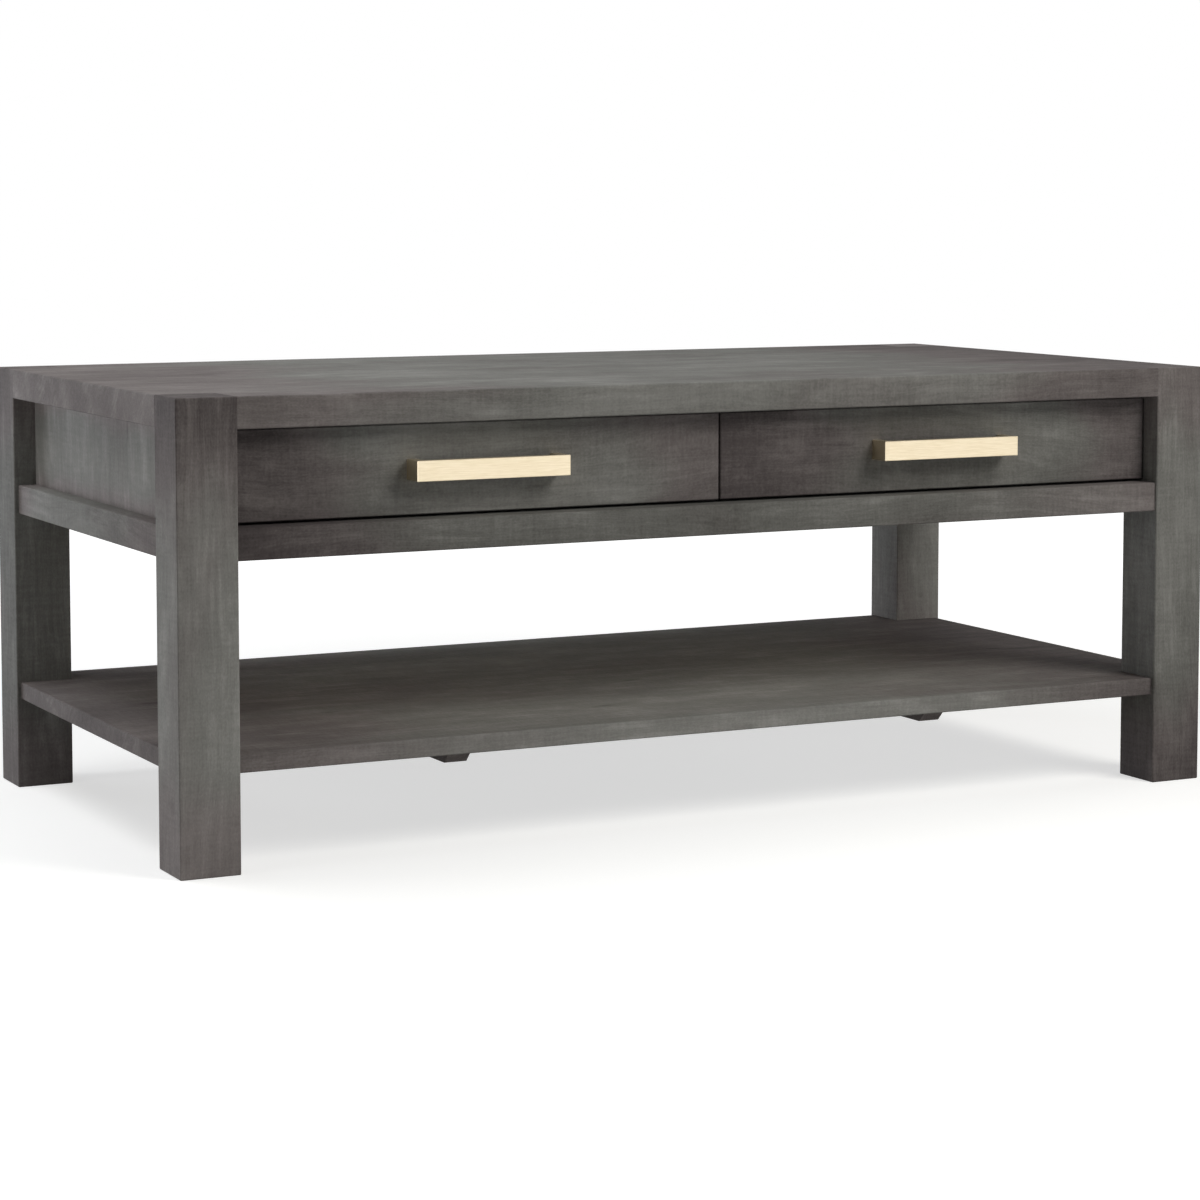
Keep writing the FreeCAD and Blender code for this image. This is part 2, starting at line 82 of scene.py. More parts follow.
# %% Camera
lens = bpy.data.cameras.new("camera")
lens.sensor_width = 36.0
lens.lens = 96.097
lens.shift_y = -0.12
camera = bpy.data.objects.new("camera", lens)
camera.location = (-1.6202, -3.2282, 0.6713)
camera_tilt = math.radians(4.785)
camera_turn = math.radians(26.644)
camera.rotation_euler = (math.pi / 2 - camera_tilt, 0.0, -camera_turn)
scene.collection.objects.link(camera)
scene.camera = camera
scene.view_settings.view_transform = "Standard"
print("camera at", [round(c, 2) for c in camera.location])

# %% [markdown]
# ## Small helpers
#
# Colours are read off a screen as sRGB hex values, but shader sockets hold linear light, so one function
# converts. Another adds a node, sets its properties and fills its inputs with values or links. Everything
# built from nodes below, shaders and geometry alike, goes through it. A third starts a material.

# %% Helpers for colours and nodes
def linear(hex_colour):
    """An sRGB hex colour as linear RGBA."""
    channels = [int(hex_colour[i:i + 2], 16) / 255 for i in (1, 3, 5)]
    return [c / 12.92 if c <= 0.04045 else ((c + 0.055) / 1.055) ** 2.4 for c in channels] + [1.0]


def add(tree, kind, inputs=None, stops=None, **settings):
    """A new node with its settings, its inputs by name or index, and the stops of a ramp."""
    node = tree.nodes.new(kind)
    for name, value in settings.items():
        setattr(node, name, value)
    for name, value in (inputs or {}).items():
        if isinstance(value, bpy.types.NodeSocket):
            tree.links.new(value, node.inputs[name])
        else:
            node.inputs[name].default_value = value
    for n, (position, colour) in enumerate(stops or []):
        if n >= len(node.color_ramp.elements):
            node.color_ramp.elements.new(position)
        node.color_ramp.elements[n].position = position
        node.color_ramp.elements[n].color = linear(colour)
    return node


def new_material(name):
    """An empty material, its node tree and the shader that it ends in."""
    material = bpy.data.materials.new(name)
    material.use_nodes = True
    tree = material.node_tree
    tree.nodes.clear()
    shader = add(tree, "ShaderNodeBsdfPrincipled")
    add(tree, "ShaderNodeOutputMaterial", {"Surface": shader.outputs[0]})
    return material, tree, shader


print("mid grey #808080 is", round(linear("#808080")[0], 3), "in linear light")

# %% [markdown]
# ## White room
#
# The table stands in front of plain white. A room that is really that bright would wash out the wood, so
# the world is white only where the camera, a reflection or glass looks at it. For everything else it is a
# dim, soft light. The Light Path node tells these rays apart.

# %% World
room_strength = 0.03


def seen_directly(tree):
    """1 for rays that show the background: from the camera, off a gloss or through glass."""
    path = add(tree, "ShaderNodeLightPath").outputs
    glossy = add(tree, "ShaderNodeMath", {0: path["Is Camera Ray"], 1: path["Is Glossy Ray"]},
                 operation="MAXIMUM")
    return add(tree, "ShaderNodeMath", {0: glossy.outputs[0], 1: path["Is Transmission Ray"]},
               operation="MAXIMUM").outputs[0]


world = bpy.data.worlds.new("white_studio")
world.use_nodes = True
scene.world = world
tree = world.node_tree
tree.nodes.clear()
room_light = add(tree, "ShaderNodeBackground", {"Color": linear("#FFFFFF"), "Strength": room_strength})
white = add(tree, "ShaderNodeBackground", {"Color": linear("#FFFFFF"), "Strength": 1.0})
shown = add(tree, "ShaderNodeMixShader", {
    0: seen_directly(tree), 1: room_light.outputs[0], 2: white.outputs[0]})
add(tree, "ShaderNodeOutputWorld", {"Surface": shown.outputs[0]})
print("world:", world.name, "with a soft light of", room_strength)

# %% [markdown]
# ## Paper floor
#
# The floor is like a wide sheet of pale studio paper. It takes the table's shadow near it. Further out it
# fades into the white of the room, so that no edge shows: a glow that only direct rays see grows with the
# distance from the table.

# %% Floor
floor_half = 7.0
fade_start, fade_end = 0.6, 2.4      # metres from the middle of the table
glow_at_table = 0.62                 # grows to 1 at the end of the fade

floor_mesh = bpy.data.meshes.new("floor")
corners = [(x * floor_half, y * floor_half, 0.0) for x, y in ((-1, -1), (1, -1), (1, 1), (-1, 1))]
floor_mesh.from_pydata(corners, [], [(0, 1, 2, 3)])
floor = bpy.data.objects.new("floor", floor_mesh)
scene.collection.objects.link(floor)

paper = bpy.data.materials.new("white_paper_floor")
paper.use_nodes = True
tree = paper.node_tree
tree.nodes.clear()
spot = add(tree, "ShaderNodeTexCoord").outputs["Object"]
distance = add(tree, "ShaderNodeVectorMath", {0: spot}, operation="LENGTH").outputs["Value"]
fade = add(tree, "ShaderNodeMapRange", {
    "Value": distance, "From Min": fade_start, "From Max": fade_end, "To Min": glow_at_table,
}, interpolation_type="SMOOTHSTEP").outputs[0]
strength = add(tree, "ShaderNodeMath", {0: fade, 1: seen_directly(tree)}, operation="MULTIPLY").outputs[0]
matt = add(tree, "ShaderNodeBsdfDiffuse", {"Color": linear("#C8C8C6")})
glow = add(tree, "ShaderNodeEmission", {"Color": linear("#FFFFFF"), "Strength": strength})
shown = add(tree, "ShaderNodeAddShader", {0: matt.outputs[0], 1: glow.outputs[0]})
add(tree, "ShaderNodeOutputMaterial", {"Surface": shown.outputs[0]})
floor_mesh.materials.append(paper)
print("floor", 2 * floor_half, "m square")

# %% [markdown]
# ## Lamps
#
# The shadows of the pulls fall to the left and down, so the main lamp is in front, to the right and
# above. Two lamps above the left half light the top, which grows darker to the right. They hang high
# enough not to shine in under the top, where the shelf stays dark. The low lamps stand on the floor: they
# light upright faces and only graze the shelf. One is in front, one on the left, a cool one behind
# reaches the back legs, and one on the right lights the side that the photograph does not show. All lamps
# are large for their distance, because the shadows have soft edges. The low front one stays out of the
# gloss: it stands in the mirror line of the pulls and would burn them out to white.

# %% Lamps
lamps = [
    # name, place, width and height in metres, watts, colour, shows in gloss
    ("main_lamp", (1.35, -2.34, 2.19), (1.4, 1.4), 62.0, "#FFFDF8", True),
    ("low_front_lamp", (0.9, -2.8, 0.4), (1.2, 0.8), 10.0, "#F8FBFF", False),
    ("high_lamp", (-0.8, 0.2, 2.4), (1.4, 1.4), 13.0, "#EFF6FF", True),
    ("left_end_lamp", (-1.15, 0.3, 1.75), (0.8, 0.8), 10.0, "#FFFEFC", True),
    ("low_left_lamp", (-2.6, -0.6, 0.4), (1.2, 0.8), 10.5, "#FFFEFC", True),
    ("low_back_lamp", (-1.6, 2.6, 0.25), (1.2, 0.5), 32.0, "#F0F5FF", True),
    ("right_side_lamp", (3.2, 0.3, 0.4), (1.2, 0.8), 25.0, "#FFFFFF", True),
]
lamp_aim = (0.0, 0.0, 0.3)
for name, place, (width, height), watts, colour, glossy in lamps:
    data = bpy.data.lights.new(name, "AREA")
    data.shape = "RECTANGLE"
    data.size = width
    data.size_y = height
    data.energy = watts
    data.color = linear(colour)[:3]
    lamp = bpy.data.objects.new(name, data)
    lamp.location = place
    towards = [a - p for a, p in zip(lamp_aim, place)]
    level = math.hypot(towards[0], towards[1])
    lamp.rotation_euler = (math.atan2(level, -towards[2]), 0.0, math.atan2(-towards[0], towards[1]))
    lamp.visible_camera = False
    lamp.visible_glossy = glossy
    scene.collection.objects.link(lamp)
print("lamps:", [row[0] for row in lamps])

# %% [markdown]
# ## The figure of maple
#
# Maple is a close, even wood. Along a board run faint growth lines that wander, much finer fibres and
# tiny pores, and across it a ripple that shows as a linen-like weave. Drawing this as a flat picture
# would need a map on each board. A solid pattern is simpler: it fills space, as wood does, and each board
# shows what its own faces cut. The group below takes a place in metres with the grain along X. First a
# slow noise bends the grain sideways, and then it adds up noises that are stretched along the grain or
# across it.

# %% Node group: maple figure, wandering grain
wander_along, wander_across = 0.45, 0.12     # metres over which the grain bends
wander_reach = 0.07                          # metres from its one side to the other


def per_metre(along, across):
    """How often a size fits into a metre along the grain, and another one across it."""
    return (1 / along, 1 / across, 1 / across)


figure = bpy.data.node_groups.new("maple_figure", "ShaderNodeTree")
figure.interface.new_socket("Grain", in_out="INPUT", socket_type="NodeSocketVector")
for name in ("Tone", "Patch", "Height"):
    figure.interface.new_socket(name, in_out="OUTPUT", socket_type="NodeSocketFloat")
straight = add(figure, "NodeGroupInput").outputs["Grain"]
wide = add(figure, "ShaderNodeVectorMath", {0: straight, 1: per_metre(wander_along, wander_across)},
           operation="MULTIPLY")
slow = add(figure, "ShaderNodeTexNoise", {"Vector": wide.outputs[0], "Scale": 1.0, "Detail": 2.0})
middled = add(figure, "ShaderNodeVectorMath", {0: slow.outputs["Color"], 1: (0.5, 0.5, 0.5)},
              operation="SUBTRACT")
wander = add(figure, "ShaderNodeVectorMath", {0: middled.outputs[0], 1: (0.0, wander_reach, wander_reach)},
             operation="MULTIPLY")
wavy = add(figure, "ShaderNodeVectorMath", {0: straight, 1: wander.outputs[0]}, operation="ADD").outputs[0]
print("the grain wanders up to", wander_reach / 2, "m to each side")

# %% Node group: maple figure, layers
figure_layers = [
    # what it is, size along and across the grain in mm, detail, amount
    ("stain patches", 260, 110, 2.0, 0.80),
    ("cloudy patches", 60, 26, 3.0, 0.32),
    ("growth streaks", 220, 6, 2.0, 0.26),
    ("cross ripple", 4, 30, 1.0, 0.20),
    # real fibres and pores are finer: drawn this coarse so that they show in the picture
    ("fibres", 26, 1.8, 2.0, 0.29),
    ("pores", 2.6, 2.0, 1.0, 0.32),
]
noises = {}
tone = 0.5 - sum(layer[4] for layer in figure_layers) / 2
for name, along, across, detail, amount in figure_layers:
    scaled = add(figure, "ShaderNodeVectorMath", {0: wavy, 1: per_metre(along * MM, across * MM)},
                 operation="MULTIPLY")
    noises[name] = add(figure, "ShaderNodeTexNoise", {
        "Vector": scaled.outputs[0], "Scale": 1.0, "Detail": detail}).outputs[0]
    tone = add(figure, "ShaderNodeMath", {0: noises[name], 1: amount, 2: tone},
               operation="MULTIPLY_ADD").outputs[0]
print("maple figure:", len(noises), "layers")

# %% [markdown]
# ## Growth rings and pin knots
#
# A board shows its growth rings as long loops where its face runs along them, and here and there sits a
# pin knot. Rings round a line beside the board give the loops. They show only in some of the cloudy
# patches, as on the real wood. A cell pattern places the knots, and the middle of each cell is a small
# dark core.

# %% Node group: maple figure, rings and knots
ring_pitch = 9 * MM
ring_taper = 7.0                         # a trunk narrows slowly: the rings are this much longer than wide
pith_aside = (0.0, 0.11, 0.19)           # metres from the board to the middle of the trunk
ring_amount = 0.16
rings_from, rings_full = 0.5, 0.7        # cloudiness at which the rings begin to show and show fully
knot_spacing = 80 * MM
knot_long = 3.0                          # knots are this much further apart along the grain
knot_core, knot_rim = 0.01, 0.08         # parts of a cell
knot_depth = 0.30
WAVES_PER_UNIT = 20 / (2 * math.pi)      # a wave texture of scale 1 has this many waves in a metre

tapered = add(figure, "ShaderNodeVectorMath", {0: wavy, 1: per_metre(ring_taper, 1.0)},
              operation="MULTIPLY")
from_pith = add(figure, "ShaderNodeVectorMath", {0: tapered.outputs[0], 1: pith_aside}, operation="ADD")
rings = add(figure, "ShaderNodeTexWave", {
    "Vector": from_pith.outputs[0], "Scale": 1 / (ring_pitch * WAVES_PER_UNIT), "Distortion": 2.5,
    "Detail": 2.0, "Detail Scale": 0.4,
}, wave_type="RINGS", rings_direction="X")
shown_rings = add(figure, "ShaderNodeMapRange", {
    "Value": noises["cloudy patches"], "From Min": rings_from, "From Max": rings_full,
    "To Max": ring_amount})
tone = add(figure, "ShaderNodeMath", {0: rings.outputs["Fac"], 1: shown_rings.outputs[0], 2: tone},
           operation="MULTIPLY_ADD").outputs[0]
cells = add(figure, "ShaderNodeVectorMath", {0: wavy, 1: per_metre(knot_long * knot_spacing, knot_spacing)},
            operation="MULTIPLY")
knots = add(figure, "ShaderNodeTexVoronoi", {"Vector": cells.outputs[0], "Scale": 1.0})
dark_core = add(figure, "ShaderNodeMapRange", {
    "Value": knots.outputs["Distance"], "From Min": knot_core, "From Max": knot_rim, "To Min": -knot_depth,
    "To Max": 0.0}, interpolation_type="SMOOTHSTEP")
tone = add(figure, "ShaderNodeMath", {0: tone, 1: dark_core.outputs[0]}, operation="ADD").outputs[0]
add(figure, "NodeGroupOutput", {"Tone": tone, "Patch": noises["stain patches"], "Height": noises["fibres"]})
print("maple figure:", len(figure.nodes), "nodes")

# %% [markdown]
# ## Boards
#
# A board is cut along the grain of the tree, so the pattern has to run along each board's length: the
# legs upright, the top and rails along the table. Turning the coordinates does that, and a shift of place
# for each board keeps two neighbours from looking sawn from the same spot. Faces square to the grain are
# end grain.

# %% Function: a board's figure
ALONG = {"X": ("X", "Y", "Z"), "Y": ("Y", "Z", "X"), "Z": ("Z", "X", "Y")}
end_grain_from, end_grain_full = 0.6, 0.9    # how squarely a face meets the grain, 1 is square


def board_figure(tree, grain, place):
    """The maple figure for a board with its grain along an axis, its end grain, and the way along it."""
    spot = add(tree, "ShaderNodeTexCoord").outputs
    axes = add(tree, "ShaderNodeSeparateXYZ", {0: spot["Object"]}).outputs
    turned = add(tree, "ShaderNodeCombineXYZ", {n: axes[axis] for n, axis in enumerate(ALONG[grain])})
    moved = add(tree, "ShaderNodeVectorMath", {0: turned.outputs[0], 1: place}, operation="ADD")
    faces = add(tree, "ShaderNodeSeparateXYZ", {0: spot["Normal"]}).outputs
    squarely = add(tree, "ShaderNodeMath", {0: faces[grain]}, operation="ABSOLUTE")
    end_grain = add(tree, "ShaderNodeMapRange", {
        "Value": squarely.outputs[0], "From Min": end_grain_from, "From Max": end_grain_full})
    cut = add(tree, "ShaderNodeGroup", node_tree=figure)
    tree.links.new(moved.outputs[0], cut.inputs["Grain"])
    return cut.outputs, end_grain.outputs[0], axes[grain]


print("an upright board reads its figure along", ALONG["Z"])

# %% [markdown]
# ## Grey-stained maple
#
# The stain is a thin grey one under a satin lacquer. It sinks in unevenly: where the wood drinks more it
# is darker and warmer, nearly mauve, and where it drinks less it is paler with a green cast. Wood drinks
# most through its end grain, so boards darken and warm towards their ends, some more than others. Two
# ramps give the warm and the cool stain, and the patches of the figure and the nearness of an end mix
# them. The lacquer gives the eye a weak, wide gloss, and the fibres a faint relief.

# %% Material: grey-stained maple
warm_stain = [(0.05, "#272121"), (0.3, "#4B4544"), (0.5, "#686260"), (0.7, "#837D7B"), (0.95, "#A49E9C")]
cool_stain = [(0.05, "#23221E"), (0.3, "#474642"), (0.5, "#64635F"), (0.7, "#7F7E7A"), (0.95, "#A09F9B")]
figure_contrast = 0.5                    # how much of the figure shows through the stain
# the darker ends stand for stain, but on the top and the shelf they are partly painted shade
end_reach_share = 0.45                   # of a board's length: how far the darker stain reaches in
end_falloff = 2.0                        # a higher power gathers it closer to the end
end_warmth, end_grain_warmth = 0.52, 0.24
cool_from, cool_full = 0.10, 0.50        # share of the patches where the stain turns cool, and fully so
satin_rough = (0.94, 0.82)               # roughness between fibres and on them
satin_level = 0.15
satin_tint = "#E2ECFA"
fibre_relief, fibre_height = 0.2, 0.2 * MM


def stained_maple(name, grain, place, ends, depth, low_end, high_end):
    """Grey-stained maple on a board between two ends. A larger depth is darker, all over or at an end."""
    material, tree, shader = new_material(name)
    cut, end_grain, along = board_figure(tree, grain, place)
    reach = end_reach_share * (ends[1] - ends[0])
    toned, share = cut["Tone"], cut["Patch"]
    for tip, inward, darker in ((ends[0], reach, low_end), (ends[1], -reach, high_end)):
        nearness = add(tree, "ShaderNodeMapRange", {
            "Value": along, "From Min": tip + inward, "From Max": tip}, interpolation_type="SMOOTHSTEP")
        near = add(tree, "ShaderNodeMath", {0: nearness.outputs[0], 1: end_falloff},
                   operation="POWER").outputs[0]
        toned = add(tree, "ShaderNodeMath", {0: near, 1: -darker, 2: toned},
                    operation="MULTIPLY_ADD").outputs[0]
        share = add(tree, "ShaderNodeMath", {0: near, 1: -end_warmth, 2: share},
                    operation="MULTIPLY_ADD").outputs[0]
    base = (1 - figure_contrast) / 2 - figure_contrast * depth
    toned = add(tree, "ShaderNodeMath", {0: toned, 1: figure_contrast, 2: base},
                operation="MULTIPLY_ADD").outputs[0]
    warm = add(tree, "ShaderNodeValToRGB", {0: toned}, stops=warm_stain)
    cool = add(tree, "ShaderNodeValToRGB", {0: toned}, stops=cool_stain)
    share = add(tree, "ShaderNodeMath", {0: end_grain, 1: -end_grain_warmth, 2: share},
                operation="MULTIPLY_ADD").outputs[0]
    mixed = add(tree, "ShaderNodeMapRange", {"Value": share, "From Min": cool_from, "From Max": cool_full},
                interpolation_type="SMOOTHSTEP")
    stain = add(tree, "ShaderNodeMix", {0: mixed.outputs[0], 6: warm.outputs[0], 7: cool.outputs[0]},
                data_type="RGBA")
    gloss = add(tree, "ShaderNodeMapRange", {
        "Value": cut["Height"], "To Min": satin_rough[0], "To Max": satin_rough[1]})
    relief = add(tree, "ShaderNodeBump", {
        "Height": cut["Height"], "Strength": fibre_relief, "Distance": fibre_height})
    tree.links.new(stain.outputs[2], shader.inputs["Base Color"])
    tree.links.new(gloss.outputs[0], shader.inputs["Roughness"])
    tree.links.new(relief.outputs[0], shader.inputs["Normal"])
    shader.inputs["Specular IOR Level"].default_value = satin_level
    shader.inputs["Specular Tint"].default_value = linear(satin_tint)
    return material


print("stain from", warm_stain[0][1], "to", warm_stain[-1][1])

# %% [markdown]
# ## The stained boards
#
# Each board took the stain in its own way, so each gets its own material from the function above. A table
# says how dark it is all over and at its two ends. Its values were found by comparing renders with the
# photograph, area by area.
# At the right end of the top and at both ends of the shelf, the darker stain is partly painted shade.

# %% Boards: legs, top, case, shelf and drawer fronts
stained_boards = {
    # node: grain, darker stain all over, at the end with the lower coordinate, at the other end
    "leg_front_left": ("Z", -0.35, 0.12, 0.62),
    "leg_front_right": ("Z", -0.02, 0.34, 0.16),
    "leg_back_left": ("Z", 0.0, 0.15, 0.05),
    "leg_back_right": ("Z", -0.27, 0.1, 0.1),
    # its darker right end is partly painted shade, deepening the fall of light towards the right
    "top_panel": ("X", -0.19, 0.15, 0.4),
    "front_rail": ("X", 0.05, 0.34, 0.02),
    "back_rail": ("X", 0.05, 0.2, 0.1),
    "side_rail_left": ("Y", -0.14, 0.2, 0.1),
    "side_rail_right": ("Y", 0.0, 0.1, 0.1),
    "side_panel_left": ("Z", -0.35, 0.0, 0.0),
    "side_panel_right": ("Z", -0.1, 0.0, 0.0),
    "back_panel": ("X", 0.0, 0.2, 0.2),
    "centre_divider": ("Y", 0.05, 0.0, 0.0),
    "cross_rail": ("Y", 0.05, 0.0, 0.0),
    # its darker ends are partly painted shade, where the shelf lies in shade
    "lower_shelf": ("X", -0.40, 0.44, 0.74),
    "shelf_batten_left": ("Y", 0.1, 0.0, 0.0),
    "shelf_batten_right": ("Y", 0.1, 0.0, 0.0),
    "left_drawer_front": ("X", -0.13, 0.46, 0.26),
    "right_drawer_front": ("X", 0.01, 0.37, 0.28),
}
stained_step = (1.37, 0.41, 0.23)        # metres in the pattern from one board to the next


def give_finish(node, material):
    """Give a solid its one material."""
    nodes[node].data.materials.clear()
    nodes[node].data.materials.append(material)


for n, (node, (grain, *depths)) in enumerate(stained_boards.items()):
    place = [n * step for step in stained_step]
    ends = [corner["XYZ".index(grain)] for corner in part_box(node)]
    give_finish(node, stained_maple("grey_stained_maple_" + node, grain, place, ends, *depths))
print("grey-stained boards:", len(stained_boards))

# %% [markdown]
# ## Pale wood inside
#
# The drawer boxes are maple with nothing but a clear lacquer, and their bottoms and the panels under the
# drawers are birch plywood. The same figure serves, on a ramp of creams, and the lacquer gives the eye a
# soft shine. End grain drinks the lacquer and turns darker.

# %% Material: clear maple and birch plywood
maple_creams = [(0.0, "#B98F5F"), (0.5, "#D9B98C"), (1.0, "#EAD3AC")]
birch_creams = [(0.1, "#C39C6A"), (0.5, "#DCBD90"), (0.9, "#E9D2AB")]
end_grain_darker = 0.45
lacquer_rough = (0.5, 0.38)              # roughness between fibres and on them


def pale_wood(name, grain, place, creams):
    """Unstained wood under clear lacquer, darker on its end grain."""
    material, tree, shader = new_material(name)
    cut, end_grain, _ = board_figure(tree, grain, place)
    toned = add(tree, "ShaderNodeMath", {0: end_grain, 1: -end_grain_darker, 2: cut["Tone"]},
                operation="MULTIPLY_ADD")
    colour = add(tree, "ShaderNodeValToRGB", {0: toned.outputs[0]}, stops=creams)
    relief = add(tree, "ShaderNodeBump", {
        "Height": cut["Height"], "Strength": fibre_relief, "Distance": fibre_height})
    gloss = add(tree, "ShaderNodeMapRange", {
        "Value": cut["Height"], "To Min": lacquer_rough[0], "To Max": lacquer_rough[1]})
    tree.links.new(colour.outputs[0], shader.inputs["Base Color"])
    tree.links.new(gloss.outputs[0], shader.inputs["Roughness"])
    tree.links.new(relief.outputs[0], shader.inputs["Normal"])
    return material


print("creams from", maple_creams[0][1], "to", maple_creams[-1][1])

# %% Boards: drawer boxes, packers, tenons and plywood
pale_boards = {"slide_packer_left": "Y", "slide_packer_right": "Y", "top_tenons": "X", "shelf_tenons": "X"}
plywood = {"dust_panel_left": "X", "dust_panel_right": "X"}
for hand in ("left", "right"):
    pale_boards[f"{hand}_drawer_box_front"] = "X"
    pale_boards[f"{hand}_drawer_box_back"] = "X"
    pale_boards[f"{hand}_drawer_side_leg_side"] = "Y"
    pale_boards[f"{hand}_drawer_side_divider_side"] = "Y"
    plywood[f"{hand}_drawer_bottom"] = "X"
pale_kinds = [
    # name, boards, creams, metres in the pattern from one board to the next
    ("clear_maple_", pale_boards, maple_creams, (0.83, 0.29, 0.37)),
    ("birch_plywood_", plywood, birch_creams, (0.59, 0.47, 0.31)),
]
for kind, boards, creams, pale_step in pale_kinds:
    for n, (node, grain) in enumerate(boards.items()):
        place = [n * step for step in pale_step]
        give_finish(node, pale_wood(kind + node, grain, place, creams))
print("pale boards:", len(pale_boards), "plywood:", len(plywood))

# %% [markdown]
# ## Brushed brass and zinc plate
#
# The pulls are pale brass, brushed along their length and lacquered, so they are satin rather than
# bright. The scratches of the brush are far longer than wide: noise squeezed across the bar and drawn out
# along it gives them. The slides are steel under a bright zinc plate, with the long drag marks of
# rolling, which give the eye a cool, streaky shine.

# %% Material: brushed metal
line_width = 0.6 * MM                    # real lines are far finer: drawn this wide so that they show
brush_length = 18 * MM
rolled_length = 330 * MM
line_relief, line_height = 0.12, 0.1 * MM


def brushed_metal(name, dark, light, along, line_length, rough):
    """Metal with fine lines along an axis. The rough pair is the roughness in and between the lines."""
    material, tree, shader = new_material(name)
    spot = add(tree, "ShaderNodeTexCoord").outputs["Object"]
    scale = [1 / (line_length if axis == along else line_width) for axis in "XYZ"]
    drawn = add(tree, "ShaderNodeVectorMath", {0: spot, 1: scale}, operation="MULTIPLY")
    lines = add(tree, "ShaderNodeTexNoise", {
        "Vector": drawn.outputs[0], "Scale": 1.0, "Detail": 3.0, "Roughness": 0.6}).outputs[0]
    colour = add(tree, "ShaderNodeValToRGB", {0: lines}, stops=[(0.3, dark), (0.7, light)])
    gloss = add(tree, "ShaderNodeMapRange", {"Value": lines, "To Min": rough[0], "To Max": rough[1]})
    relief = add(tree, "ShaderNodeBump", {
        "Height": lines, "Strength": line_relief, "Distance": line_height})
    tree.links.new(colour.outputs[0], shader.inputs["Base Color"])
    tree.links.new(gloss.outputs[0], shader.inputs["Roughness"])
    tree.links.new(relief.outputs[0], shader.inputs["Normal"])
    shader.inputs["Metallic"].default_value = 1.0
    return material


print("brush lines", round(brush_length / line_width), "times as long as wide")

# %% Metals: pulls, slides and screws
brass = brushed_metal("brushed_brass", "#D2C3A5", "#E3D6BD", "X", brush_length, (0.40, 0.34))
zinc = brushed_metal("zinc_plated_steel", "#A9ADB1", "#C9CCCE", "Y", rolled_length, (0.40, 0.28))
for node in nodes:
    if "pull" in node and "screws" not in node:
        give_finish(node, brass)
    elif "member" in node or "balls" in node or "screws" in node:
        give_finish(node, zinc)
unfinished = [node for node in nodes if len(nodes[node].data.materials) != 1]
print("solids with no finish of their own:", unfinished)

# %% [markdown]
# ## Pieces made by Geometry Nodes
#
# Screws and balls repeat, so one Geometry Nodes tree makes each kind and a mesh of bare points or lines
# says where they go. A tree is a recipe with named sizes, like a drawing with dimensions. Its result is
# kept as a plain mesh, because other programs can read that, and the tree's modifier is taken off again.

# %% Helpers for trees
def new_tree(name, sizes):
    """An empty tree that takes places, named sizes and a finish, and the sockets that give them."""
    tree = bpy.data.node_groups.new(name, "GeometryNodeTree")
    tree.interface.new_socket("Places", in_out="INPUT", socket_type="NodeSocketGeometry")
    for size in sizes:
        tree.interface.new_socket(size, in_out="INPUT", socket_type="NodeSocketFloat")
    tree.interface.new_socket("Finish", in_out="INPUT", socket_type="NodeSocketMaterial")
    tree.interface.new_socket("Pieces", in_out="OUTPUT", socket_type="NodeSocketGeometry")
    return tree, add(tree, "NodeGroupInput").outputs


def end_tree(tree, instances, finish):
    """Make the instances real, give them their finish and hand them out."""
    real = add(tree, "GeometryNodeRealizeInstances", {0: instances})
    finished = add(tree, "GeometryNodeSetMaterial", {"Geometry": real.outputs[0], "Material": finish})
    add(tree, "NodeGroupOutput", {0: finished.outputs[0]})
    print(tree.name, "tree has", len(tree.nodes), "nodes")


def make_piece(name, tree, places, body, sizes, finish, lines=(), turns=(), replaced=()):
    """Run a tree on its places and keep the result as one plain mesh that rides on a body."""
    mesh = bpy.data.meshes.new(name)
    mesh.from_pydata(places, lines, [])
    if turns:
        turned = mesh.attributes.new("turn", "FLOAT_VECTOR", "POINT")
        for n, turn in enumerate(turns):
            turned.data[n].vector = turn
    piece = bpy.data.objects.new(name, mesh)
    scene.collection.objects.link(piece)
    recipe = piece.modifiers.new("recipe", "NODES")
    recipe.node_group = tree
    for socket in tree.interface.items_tree:
        if socket.in_out == "INPUT" and socket.name != "Places":
            recipe[socket.identifier] = finish if socket.name == "Finish" else sizes[socket.name]
    shown = bpy.context.evaluated_depsgraph_get()
    made = bpy.data.meshes.new_from_object(
        piece.evaluated_get(shown), preserve_all_data_layers=True, depsgraph=shown)
    piece.modifiers.remove(recipe)
    piece.data = made
    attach(piece, body)
    for node in replaced:
        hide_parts(node)
    print(name, "has", len(made.polygons), "faces on", len(places), "places")


# %% [markdown]
# ## Screws
#
# Three kinds of screw hold the table's fittings: wood screws with flat heads that lie flush, pan heads
# that hold the slides to the drawers, and machine screws that reach through the drawer box and front into
# the pulls. They differ in a few sizes only, so one tree makes them all. The sizes that follow from
# others, such as a recess that fits its head, are worked out in the tree.

# %% Tree: sizes of a screw
screw_tree, screw_size = new_tree("cross_head_screws", [
    "Top radius", "Foot radius", "Head height", "Shank radius", "Length", "Thread pitch"])
worked_out = {
    # size: the one that it follows, and its share of that
    "Bar length": ("Top radius", 1.3),
    "Bar width": ("Top radius", 0.32),
    "Bar height": ("Head height", 1.2),
    "Deeper bar height": ("Head height", 1.32),
    "Point length": ("Shank radius", 2.5),
    "Tip radius": ("Shank radius", 0.2),
    "Ridge radius": ("Thread pitch", 0.28),
}
part_size = {}
for name, (followed, share) in worked_out.items():
    part_size[name] = add(screw_tree, "ShaderNodeMath", {0: screw_size[followed], 1: share},
                          operation="MULTIPLY").outputs[0]
shaft_length = add(screw_tree, "ShaderNodeMath", {0: screw_size["Length"], 1: part_size["Point length"]},
                   operation="SUBTRACT").outputs[0]
print("sizes worked out in the screw tree:", len(part_size) + 1)

